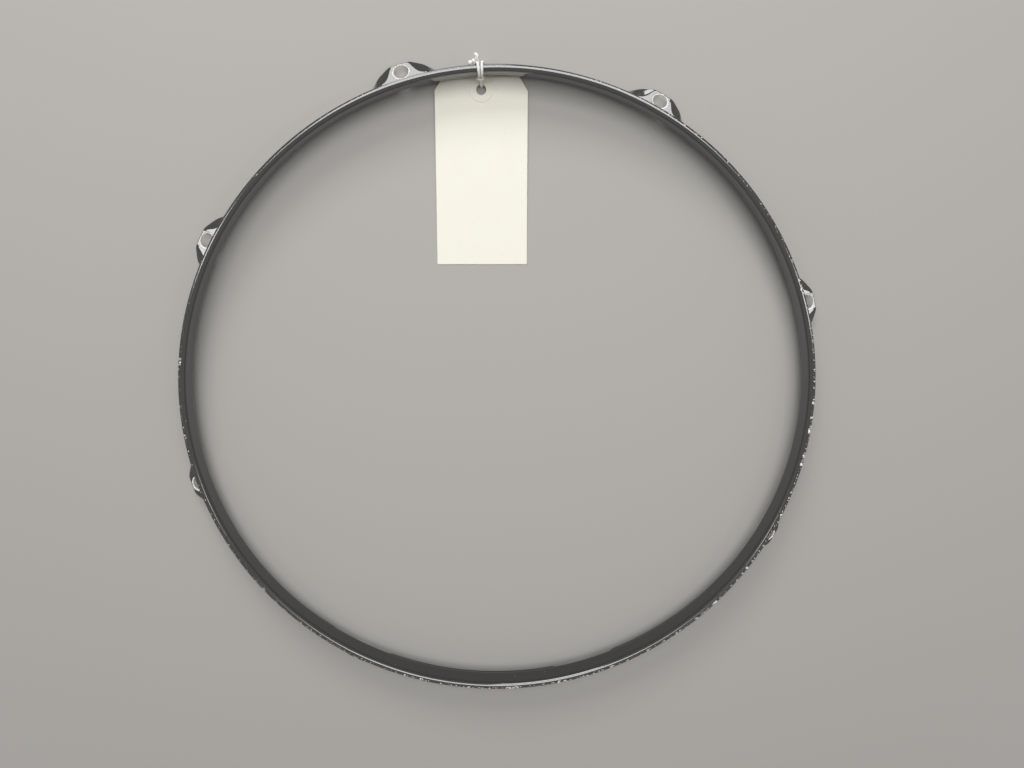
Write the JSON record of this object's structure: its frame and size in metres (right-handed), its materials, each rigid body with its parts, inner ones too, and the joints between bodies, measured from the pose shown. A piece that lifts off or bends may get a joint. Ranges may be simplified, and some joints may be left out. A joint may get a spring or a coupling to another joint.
{
  "type": "drum hoop",
  "caption": "Pressed steel counterhoop for a drum, with a turned-out lip, a seat for the drum head, a skirt with tension rod ears, and a blank card tag tied on with string.",
  "frame": {"origin": "on the hoop's axis, in the plane that the hoop lies on with its playing lip up", "axes": "+Z along the hoop's axis, up through the playing lip; +X and +Y across the hoop, with the tag tied on 3 degrees past +Y, towards -X"},
  "size_m": [0.3732, 0.3744, 0.0279],
  "materials": {
    "enamel": "gloss black enamel on pressed steel, chipped along the lip",
    "card": "matt uncoated tag card",
    "board": "matt reinforcing board",
    "cotton": "twisted white cotton string"
  },
  "bodies": {
    "hoop": {"hoop": "enamel"},
    "string": {"string_turn_left": "cotton", "string_turn_right": "cotton", "string_knot": "cotton", "string_tail_long": "cotton", "string_tail_short": "cotton", "string_hitch": "cotton"},
    "tag": {"string_leader": "cotton", "tag_card": "card", "tag_patch_front": "board", "tag_patch_back": "board"}
  },
  "joints": [
    {"name": "string_slide_round_rim", "type": "hinge", "parent": "hoop", "child": "string", "pos_m": [0, 0, 0], "axis": [0, 0, 1], "range_deg": [-22, 3.5]},
    {"name": "tag_swing", "type": "hinge", "parent": "string", "child": "tag", "pos_m": [-0.00925, 0.17656, 0.0154], "axis": [-0.9986, -0.0523, 0], "range_deg": [0, 100]}
  ]
}
